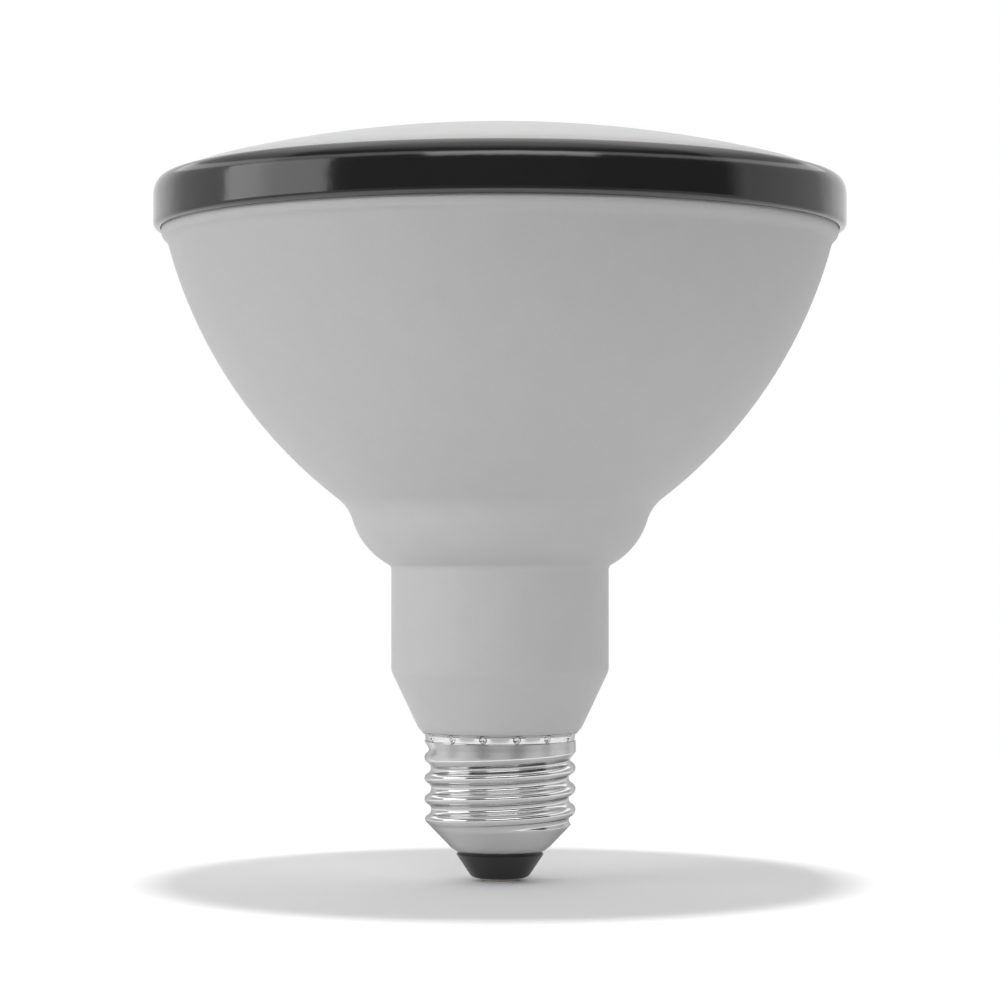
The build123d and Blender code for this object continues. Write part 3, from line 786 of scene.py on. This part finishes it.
    def punches(self) -> Piece:
        """Round-nosed punches all round the skirt, just under its flared rim.

        Returns:
            One mesh of every punch.
        """
        reach = self.rim_radius + self.stake_radius - self.stake_depth
        step = FULL_TURN / self.stake_count
        bpy.ops.mesh.primitive_uv_sphere_add(
            segments=28, ring_count=18, radius=self.stake_radius * MM,
            location=(0, -reach * MM, self.stake_level * MM), rotation=(math.pi / 2, 0, 0),
        )
        punch = bpy.context.active_object
        bpy.ops.object.transform_apply(location=True, rotation=True, scale=True)
        with editing(punch):
            bpy.ops.mesh.select_mode(type="FACE")
            bpy.ops.mesh.select_all(action="DESELECT")
            for face in bmesh.from_edit_mesh(punch.data).faces:
                if face.normal.y > self.nose_share:
                    face.select_set(True)
            bmesh.update_edit_mesh(punch.data)
            bpy.ops.transform.translate(value=(0, -self.nose_push * MM, 0))
            take_all()
            bpy.ops.transform.rotate(value=step / 2, orient_axis="Z", center_override=ORIGIN)
            bpy.ops.mesh.spin(
                steps=self.stake_count - 1, dupli=True, angle=FULL_TURN - step, center=ORIGIN, axis=UP
            )
            face_outward()
        return punch

    def ripple(self, shell: Piece) -> None:
        """Lets the flared rim dip a little at every stake.

        Args:
            shell: The closed shell.
        """
        for vert in shell.data.vertices:
            radius = math.hypot(vert.co.x, vert.co.y)
            if vert.co.z > self.ripple_start * MM and radius > self.rim_radius * MM:
                angle = math.atan2(vert.co.y, vert.co.x) + math.pi / 2
                dip = (1 - math.cos(self.stake_count * angle)) / 2
                vert.co.z -= self.rim_dip * MM * dip
                share = 1 - self.rim_pull * MM * dip / radius
                vert.co.x *= share
                vert.co.y *= share

    def build_shell(self) -> Piece:
        """Models the shell: rolled thread, cone, lip, skirt and staked rim, with its inner face.

        Returns:
            The closed sheet shell.
        """
        skirt, top, mouth, bottom = self.skirt_radius, self.shell_top, self.mouth_radius, self.shell_bottom
        inner, staked = self.root_radius - self.wall, self.rim_radius - self.stake_depth - self.stake_wall
        upper, lower, cone_back = self.inner_levels
        cone_radius = self.shoulder[0] + (self.cone_cut - self.shoulder[1]) / self.cone_slope
        shell = self.thread_skin()
        self.roll(shell)
        self.trim(shell)
        with editing(shell):
            lip = (*self.lip_bend, (self.lip_radius, bottom), (mouth, bottom))
            self.draw_on(shell, (cone_radius, self.cone_cut), *lip)
            self.draw_on(
                shell,
                (skirt, self.skirt_cut),
                *around((skirt, self.band_top), self.band_edge),
                *around((self.step_radius, self.band_top), self.step_edge),
                *around((self.rim_radius, self.flare_foot), self.flare_edge),
                *around((self.flare_radius, top), self.rim_edge),
                (staked, top), (staked, upper),
                (inner, lower), (inner, cone_back), (mouth, bottom + self.lip_wall),
            )
            choose_rims(shell, 0, top)
            bpy.ops.mesh.bridge_edge_loops()
            face_outward()
        self.ripple(shell)
        cut_by(shell, self.punches(), Join.CUT)
        return shell

    def build_insulator(self) -> Piece:
        """Models the tapered insulator, with a fine groove under the shell's lip and its inner flange.

        Returns:
            The closed moulding.
        """
        pen = SectionPen("cap_insulator_moulding", (self.insulator_bore, self.insulator_foot[0][1]))
        pen.bend(self.insulator_foot, 8)
        pen.bend(self.insulator_brim, 8)
        pen.line(*self.insulator_flange, (self.insulator_bore, self.insulator_flange[-1][1]))
        return pen.turned()

    def build_contact(self) -> Piece:
        """Models the centre contact: a flat button with a rounded edge, a shallow eye and a shank.

        Returns:
            The closed button.
        """
        pen = SectionPen("centre_contact_button", (0, self.contact_eye[0][1]))
        pen.bend(self.contact_eye, 6)
        pen.sway(*self.contact_rise, 4)
        pen.bend(self.contact_edge, 8)
        pen.line(*self.contact_shank)
        return pen.turned(96)

    def dress(self, wardrobe: Wardrobe) -> None:
        """Builds the cap's pieces and finishes them.

        Args:
            wardrobe: The finishes.
        """
        wardrobe.fit(self.build_shell(), Slot.SHELL, "screw_shell")
        wardrobe.fit(self.build_insulator(), Slot.INSULATOR, "cap_insulator")
        wardrobe.fit(self.build_contact(), Slot.CONTACT, "center_contact")


@dataclass
class Housing:
    """The grey mouldings: neck with its cap spigot and rails, and bowl with its rim. Sizes in mm."""

    wall: float = 2.0
    spigot_bore: float = 9.6
    spigot_radius: float = 11.6
    staked_radius: float = 12.3
    spigot_bottom: float = 20.5
    step_level: float = 24.05
    collar_bottom: float = 25.95
    collar_edge: float = 13.62
    collar: Point = (14.3, 26.7)
    collar_start: Point = (0.24, 0.27)
    collar_run: float = 0.5
    neck_radius: float = 18.98
    neck_bottom: float = 36.57
    neck_round: float = 3.0
    neck_top: float = 54.8
    seam_level: float = 52.8
    lap_radius: float = 17.98
    lap_height: float = 3.0
    gap: float = 0.1
    shoulder_arc: float = 13.2
    shoulder_round: float = 1.0
    crease: Point = (26.2, 65.0)
    crease_round: float = 7.5
    bowl_arc: float = 82.7
    rim: Point = (57.8, 110.76)
    bead_start: float = 110.1
    bead_hollow: tuple[Point, Point] = ((57.8, 110.95), (58.35, 111.4))
    bead_crest: tuple[Point, Point] = ((58.95, 111.9), (58.95, 112.7))
    bead_radius: float = 58.95
    groove: Triple = (58.35, 114.3, 115.5)
    bowl_top: float = 116.56
    ledge_level: float = 82.57
    ledge_radius: float = 37.48
    ledge_foot: float = 76.57
    rail_reach: float = 14.18
    rail_half: float = 2.4
    rail_levels: Triple = (39.57, 41.57, 51.57)
    slot_reach: float = 15.98
    slot_half: float = 0.9
    shoulder_centre: Point = field(init=False)
    bowl_centre: Point = field(init=False)
    crease_centre: Point = field(init=False)
    foot_centre: Point = field(init=False)

    def __post_init__(self) -> None:
        """Finds the centres of the arcs that the shoulder and bowl are drawn with."""
        neck, shoulder, turn = self.neck_radius, self.shoulder_arc, self.crease_round
        self.shoulder_centre = bulge_centre((neck, self.neck_top), self.crease, shoulder)
        self.bowl_centre = bulge_centre(self.crease, self.rim, self.bowl_arc)
        self.crease_centre = circles_meet(
            self.shoulder_centre, shoulder + turn, self.bowl_centre, self.bowl_arc + turn
        )
        reach, foot = shoulder + self.shoulder_round, neck + self.shoulder_round
        drop = math.sqrt(reach**2 - (foot - self.shoulder_centre[0]) ** 2)
        self.foot_centre = (foot, self.shoulder_centre[1] - drop)

    def bowl_point(self, level: float, inset: float = 0) -> Point:
        """The bowl's face at a level, drawn in by an inset."""
        centre = self.bowl_centre
        return centre[0] + math.sqrt((self.bowl_arc - inset) ** 2 - (level - centre[1]) ** 2), level

    def build_bowl(self) -> Piece:
        """Models the bowl: shoulder, crease, flare, rounded bead, snap groove, rim, ledge and lap.

        Returns:
            The closed moulding.
        """
        shoulder, bowl = self.shoulder_centre, self.bowl_centre
        crease, foot, wall = self.crease_centre, self.foot_centre, self.wall
        groove, groove_low, groove_high = self.groove
        bead, top, seam = self.bead_radius, self.bowl_top, self.seam_level
        inner_rim = self.bowl_point(self.rim[1], wall)
        pen = SectionPen("bowl_moulding", (self.neck_radius, seam))
        pen.line((self.neck_radius, foot[1]))
        pen.arc(foot, on_circle(foot, shoulder, self.shoulder_round), 8)
        pen.arc(shoulder, on_circle(shoulder, crease, self.shoulder_arc), 20)
        pen.arc(crease, on_circle(crease, bowl, self.crease_round), 14)
        pen.arc(bowl, self.bowl_point(self.bead_start), 44)
        pen.sway(*self.bead_hollow, 8)
        pen.sway(*self.bead_crest, 8)
        pen.line((bead, groove_low), (groove, groove_low), (groove, groove_high), (bead, groove_high))
        pen.line((bead, top), (inner_rim[0], top), inner_rim)
        pen.arc(bowl, self.bowl_point(self.ledge_level, wall), 16)
        pen.line((self.ledge_radius, self.ledge_level), self.bowl_point(self.ledge_foot, wall))
        pen.arc(bowl, on_circle(bowl, crease, self.bowl_arc - wall), 8)
        pen.arc(crease, on_circle(crease, shoulder, self.crease_round + wall), 8)
        pen.arc(shoulder, on_circle(shoulder, foot, self.shoulder_arc - wall), 10)
        lap_top, lap_face = seam + self.lap_height + self.gap, self.lap_radius + self.gap
        rise, reach = lap_top - foot[1], self.shoulder_round + wall
        pen.arc(foot, (foot[0] - math.sqrt(reach**2 - rise**2), lap_top), 4)
        pen.line((lap_face, lap_top), (lap_face, seam))
        return pen.turned()

    def add_rails(self, neck: Piece, bore: float) -> None:
        """Joins the two slotted rails for the driver board to the neck's inner wall.

        Args:
            neck: The neck.
            bore: Its inner radius, mm.
        """
        low, floor, high = self.rail_levels
        for side in (1, -1):
            ends = sorted((side * self.rail_reach, side * (bore + self.wall / 2)))
            rail = block((ends[0], -self.rail_half, low), (ends[1], self.rail_half, high))
            ends = sorted((side * (self.rail_reach - 1), side * self.slot_reach))
            groove = block((ends[0], -self.slot_half, floor), (ends[1], self.slot_half, high + 1))
            cut_by(rail, groove, Join.CUT)
            cut_by(neck, rail, Join.ADD)

    def build_neck(self) -> Piece:
        """Models the neck: spigot, collar, taper, straight wall and lap tongue, with two slotted rails.

        Returns:
            The closed moulding.
        """
        radius, wall, seam = self.neck_radius, self.wall, self.seam_level
        edge, level = self.collar
        across, up = radius - edge, self.neck_bottom - level
        slope = math.hypot(across, up)
        run = (across / slope, up / slope)
        cut = self.neck_round * math.tan(math.atan2(across, up) / 2)
        bend_start = (radius - run[0] * cut, self.neck_bottom - run[1] * cut)
        bend_end = (radius, self.neck_bottom + cut)
        bend_centre = (radius - self.neck_round, bend_end[1])
        bore, lap_top = radius - wall, seam + self.lap_height
        foot = (edge - run[1] * wall, level + run[0] * wall)
        pen = SectionPen("neck_moulding", (self.spigot_bore, self.spigot_bottom))
        pen.line(
            (self.spigot_radius, self.spigot_bottom), (self.spigot_radius, self.step_level),
            (self.staked_radius, self.step_level), (self.staked_radius, self.collar_bottom),
            (self.collar_edge, self.collar_bottom),
            (edge - self.collar_start[0], level - self.collar_start[1]),
        )
        pen.sway(self.collar, (edge + run[0] * self.collar_run, level + run[1] * self.collar_run), 6)
        pen.line(bend_start)
        pen.arc(bend_centre, bend_end, 10)
        pen.line((radius, seam), (self.lap_radius, seam), (self.lap_radius, lap_top), (bore, lap_top))
        pen.line((bore, bend_end[1]))
        pen.arc(bend_centre, on_circle(bend_centre, bend_start, self.neck_round - wall), 6)
        pen.line(foot, (self.spigot_bore, foot[1]))
        neck = pen.turned()
        self.add_rails(neck, bore)
        return neck

    def dress(self, wardrobe: Wardrobe) -> None:
        """Builds the two mouldings and finishes them."""
        wardrobe.fit(self.build_bowl(), Slot.HOUSING, "bowl")
        wardrobe.fit(self.build_neck(), Slot.HOUSING, "neck")


@dataclass
class Front:
    """The trim ring and the domed lens. Sizes in mm."""

    ring_bore: float = 59.05
    ring_radius: float = 60.325
    ring_bottom: float = 113.2
    ring_top: float = 122.1
    ring_round: float = 2.6
    ring_fall: float = 3.5
    ring_ceiling: float = 119.86
    ring_mouth: float = 57.1
    mouth_round: float = 0.25
    lip_rise: float = 1.25
    lip_inset: Point = (0.2, 0.15)
    tooth: Triple = (58.45, 114.4, 115.4)
    lens_radius: float = 57.0
    lens_inner_radius: float = 55.0
    lens_flange: Triple = (58.95, 117.76, 119.76)
    lens_edge: float = 122.7
    lens_turn: float = 5.0
    lens_fall: float = 1.2
    dome_arc: float = 205.0
    lens_wall: float = 2.0

    def build_ring(self) -> Piece:
        """Models the trim ring: rolled lower lip, upright wall, round shoulder and snap tooth.

        Returns:
            The closed ring.
        """
        tooth_radius, tooth_low, tooth_high = self.tooth
        bore, outer, bottom, top = self.ring_bore, self.ring_radius, self.ring_bottom, self.ring_top
        pen = SectionPen("trim_ring_moulding", (bore, bottom + self.lip_inset[1]))
        pen.sway((bore, bottom), (bore + self.lip_inset[0], bottom), 4)
        pen.sway((outer, bottom), (outer, bottom + self.lip_rise), 12)
        pen.bend(((outer, top - self.ring_fall), (outer, top), (outer - self.ring_round, top)), 24)
        mouth_start = (self.ring_mouth + self.mouth_round, top)
        pen.bend((mouth_start, (self.ring_mouth, top), (self.ring_mouth, top - self.mouth_round)), 5)
        pen.line((self.ring_mouth, self.ring_ceiling), (bore, self.ring_ceiling), (bore, tooth_high))
        pen.line((tooth_radius, tooth_high), (tooth_radius, tooth_low), (bore, tooth_low))
        return pen.turned(256)

    def build_lens(self) -> Piece:
        """Models the lens: a shallow dome with a rounded edge, a side wall and a flange.

        Returns:
            The closed lens.
        """
        flange_radius, flange_low, flange_high = self.lens_flange
        centre = (0.0, self.lens_edge - math.sqrt(self.dome_arc**2 - self.lens_radius**2))
        apex = (0.0, centre[1] + self.dome_arc)
        near_edge = self.lens_radius - self.lens_turn
        rise = math.sqrt(self.dome_arc**2 - near_edge**2)
        corner = (self.lens_radius, centre[1] + rise - self.lens_turn * near_edge / rise)
        inner_arc = self.dome_arc - self.lens_wall
        inner_edge = (self.lens_inner_radius, centre[1] + math.sqrt(inner_arc**2 - self.lens_inner_radius**2))
        pen = SectionPen("lens_moulding", apex)
        pen.arc(centre, (near_edge, centre[1] + rise), 28)
        pen.sway(corner, (self.lens_radius, self.lens_edge - self.lens_fall), 14)
        pen.line((self.lens_radius, flange_high), (flange_radius, flange_high), (flange_radius, flange_low))
        pen.line((self.lens_inner_radius, flange_low), inner_edge)
        pen.arc(centre, (0.0, apex[1] - self.lens_wall), 20)
        return pen.turned()

    def dress(self, wardrobe: Wardrobe) -> None:
        """Builds the ring and the lens and finishes them."""
        wardrobe.fit(self.build_ring(), Slot.RING, "trim_ring")
        wardrobe.fit(self.build_lens(), Slot.LENS, "front_lens")


@dataclass
class InnerWorks:
    """The sealed pieces inside the lamp, which keep their CAD shapes and take the record's slots."""

    outer: tuple[str, ...] = (
        "front_lens", "trim_ring", "bowl", "neck", "screw_shell", "cap_insulator", "center_contact"
    )

    def dress(self, wardrobe: Wardrobe) -> None:
        """Gives each inner node the finish of its slot.

        Args:
            wardrobe: The finishes.
        """
        for row in frame["record"]["subparts"]:
            name, slot = row["node"], Slot(row["material_slot"])
            if name not in self.outer:
                wardrobe.put_on(frame["nodes"][name], slot)
                log.info("%s: finished as %s", name, slot.value)


@dataclass(frozen=True)
class SoftBox:
    """One soft box of the studio, turned to a point on the lamp's axis. Sizes in metres."""

    name: str
    place: Place
    aim_level: float
    size: Point
    watts: float
    mirrored: bool = True

    def hang(self) -> None:
        """Hangs the box, and keeps it out of reflections where no gloss should mirror it."""
        turn = (Vector((0, 0, self.aim_level)) - Vector(self.place)).to_track_quat("-Z", "Y").to_euler()
        bpy.ops.object.light_add(type="AREA", location=self.place, rotation=turn)
        box = bpy.context.active_object
        box.name = self.name
        box.data.shape = "RECTANGLE"
        box.data.size, box.data.size_y = self.size
        box.data.energy = self.watts
        box.visible_glossy = self.mirrored


@dataclass
class Studio:
    """The floor, the surroundings, the soft boxes and the camera. Sizes in metres."""

    floor_radius: float = 0.45
    floor_drop: float = 0.05 * MM
    floor_clear: Span = (0.2, 0.4275)
    stand_radius: float = 2.9 * MM
    floor_white: float = 0.98
    # Painted shade: the duller floor tone that only bounce light on the lamp sees further out, and the reach
    # over which it falls off from white.
    far_bounce_shade: float = 0.62
    bounce_shade_reach: Span = (0.03, 0.1)
    camera_distance: float = 0.5478
    camera_level: float = 0.0574
    picture_scale: float = 0.1747 * MM
    horizon_row: float = 551.1
    picture_size: int = 1000
    sensor_width: float = 36.0
    front_tone: float = 0.06
    back_tone: float = 0.56
    front_end: Span = (0.4, 0.46)
    white_start: Span = (0.8, 0.9)
    strip_tone: float = 1.0
    strip_levels: Span = (0.34, 0.45)
    strip_edge: float = 0.03
    card_tones: Span = (0.12, 0.38)
    card_reach: Span = (0.06, 0.25)
    card_level: float = -0.03
    zenith_tone: float = 0.9
    zenith_levels: Span = (0.6, 0.88)
    backdrop_start: float = 0.8
    boxes: tuple[SoftBox, ...] = (
        SoftBox("overhead_box", (0, 0, 4.0), 0, (0.4, 0.4), 82.0, mirrored=False),
        SoftBox("left_fill", (-0.82, -0.46, 0.52), 0.09, (0.6, 0.6), 1.5, mirrored=False),
        SoftBox("front_fill", (0.15, -1.2, 0.6), 0.1, (0.8, 0.4), 2.0, mirrored=False),
        SoftBox("left_box", (-0.77, -0.2, 0.22), 0.09, (0.616, 0.28), 0.85),
        SoftBox("front_box", (0.08, -1.25, 0.58), 0.09, (1.3, 0.26), 1.9),
    )

    def floor_material(self) -> bpy.types.Material:
        """Makes the floor's finish, clear at its edge, where the contact stands and from below, with painted
        shade that dulls it further out for bounce light alone.

        Returns:
            The material.
        """
        material = bpy.data.materials.new("studio_floor_white")
        material.use_nodes = True
        nodes = material.node_tree.nodes
        shader = nodes["Principled BSDF"]
        sheet = NodeSheet(material.node_tree)
        path = sheet.add("ShaderNodeLightPath", {})
        place = sheet.add("ShaderNodeTexCoord", {})["Object"]
        reach = sheet.add("ShaderNodeVectorMath", {0: place}, operation="LENGTH")["Value"]
        # Painted shade: rays that are neither camera nor gloss see the floor fall from white near the cap to
        # a duller tone further out, so it bounces less light onto the lamp.
        bounce_shade = sheet.span(reach, self.bounce_shade_reach, (self.floor_white, self.far_bounce_shade))
        seen = sheet.most(path["Is Camera Ray"], path["Is Glossy Ray"], path["Is Transmission Ray"])
        sheet.feed(shader, {
            "Base Color": sheet.mix(bounce_shade, (*grey(self.floor_white), 1), seen),
            "Roughness": 1.0,
            "Specular IOR Level": 0.0,
        })
        fade = sheet.span(reach, self.floor_clear, (0, 1), "SMOOTHSTEP")
        stand = sheet.math("LESS_THAN", reach, self.stand_radius)
        below = sheet.add("ShaderNodeNewGeometry", {})["Backfacing"]
        clear = sheet.most(fade, stand, below)
        empty = sheet.add("ShaderNodeBsdfTransparent", {})["BSDF"]
        mixed = sheet.add("ShaderNodeMixShader", {"Fac": clear, 1: shader.outputs["BSDF"], 2: empty})
        sheet.feed(nodes["Material Output"], {"Surface": mixed["Shader"]})
        return material

    def lay_floor(self) -> None:
        """Lays the pale floor just under the lamp."""
        bpy.ops.mesh.primitive_circle_add(
            vertices=96, radius=self.floor_radius, fill_type="NGON", location=(0, 0, -self.floor_drop)
        )
        floor = bpy.context.active_object
        floor.name = "studio_floor"
        floor.data.materials.append(self.floor_material())

    def surround(self) -> None:
        """Makes the world: white to the camera, pale behind, dim in front, with a light strip round it.

        Gloss alone also mirrors a pale top, a card low in front and the white backdrop.
        """
        world = bpy.data.worlds.new("studio_surround")
        bpy.context.scene.world = world
        world.use_nodes = True
        world.node_tree.nodes.clear()
        sheet = NodeSheet(world.node_tree)
        path = sheet.add("ShaderNodeLightPath", {})
        gloss = path["Is Glossy Ray"]
        place = sheet.add("ShaderNodeTexCoord", {})["Generated"]
        parts = sheet.add("ShaderNodeSeparateXYZ", {"Vector": place})
        depth = sheet.span(parts["Y"], (-1.0, 1.0), (0, 1))
        dim_end, pale_start = self.front_end
        pale_end, white_start = self.white_start
        walls = sheet.ramp(
            depth, (dim_end, self.front_tone),
            (pale_start, self.back_tone), (pale_end, self.back_tone), (white_start, 1.0),
        )
        low, high = self.strip_levels
        strip = sheet.ramp(
            parts["Z"], (low - self.strip_edge, 0),
            (low, self.strip_tone), (high, self.strip_tone), (high + self.strip_edge, 0),
        )
        near, aside = self.card_tones
        start, end = self.card_reach
        card = sheet.ramp(depth, (start, near), (end, aside), (dim_end, aside), (pale_start, 0))
        low_down = sheet.span(parts["Z"], (0, self.card_level), (0, 1))
        top = sheet.span(parts["Z"], self.zenith_levels, (0, self.zenith_tone))
        tone = sheet.mix(walls, strip, 1.0, "ADD")
        tone = sheet.mix(tone, top, gloss, "ADD")
        tone = sheet.mix(tone, card, sheet.math("MULTIPLY", low_down, gloss), "ADD")
        studio = sheet.add("ShaderNodeBackground", {"Color": tone})["Background"]
        white = sheet.add("ShaderNodeBackground", {"Color": (*grey(1.0), 1)})["Background"]
        backdrop = sheet.math("GREATER_THAN", parts["Y"], self.backdrop_start)
        mirrored = sheet.math("MULTIPLY", sheet.most(gloss, path["Is Transmission Ray"]), backdrop)
        plain = sheet.most(path["Is Camera Ray"], mirrored)
        mixed = sheet.add("ShaderNodeMixShader", {"Fac": plain, 1: studio, 2: white})
        sheet.add("ShaderNodeOutputWorld", {"Surface": mixed["Shader"]})

    def set_camera(self) -> None:
        """Stands the camera in front, level with the neck, tipped up as far as the picture's frame needs."""
        pixels = self.camera_distance / self.picture_scale
        tilt = math.atan2(self.horizon_row - self.picture_size / 2, pixels)
        bpy.ops.object.camera_add(
            location=(0, -self.camera_distance, self.camera_level), rotation=(math.pi / 2 + tilt, 0, 0)
        )
        camera = bpy.context.active_object
        camera.data.sensor_width = self.sensor_width
        camera.data.lens = self.sensor_width * pixels / self.picture_size
        camera.data.clip_start = 0.01
        bpy.context.scene.camera = camera

    def build(self) -> None:
        """Sets up the whole studio."""
        self.lay_floor()
        self.surround()
        for box in self.boxes:
            box.hang()
        self.set_camera()
        bpy.context.scene.view_settings.view_transform = "Standard"


def main() -> None:
    """Builds the lamp's pieces in order, dresses them and sets up the studio."""
    logging.basicConfig(level=logging.INFO, format="%(name)s %(message)s")
    wardrobe = Wardrobe()
    ScrewCap().dress(wardrobe)
    Housing().dress(wardrobe)
    Front().dress(wardrobe)
    InnerWorks().dress(wardrobe)
    Studio().build()


if __name__ == "__main__":
    main()
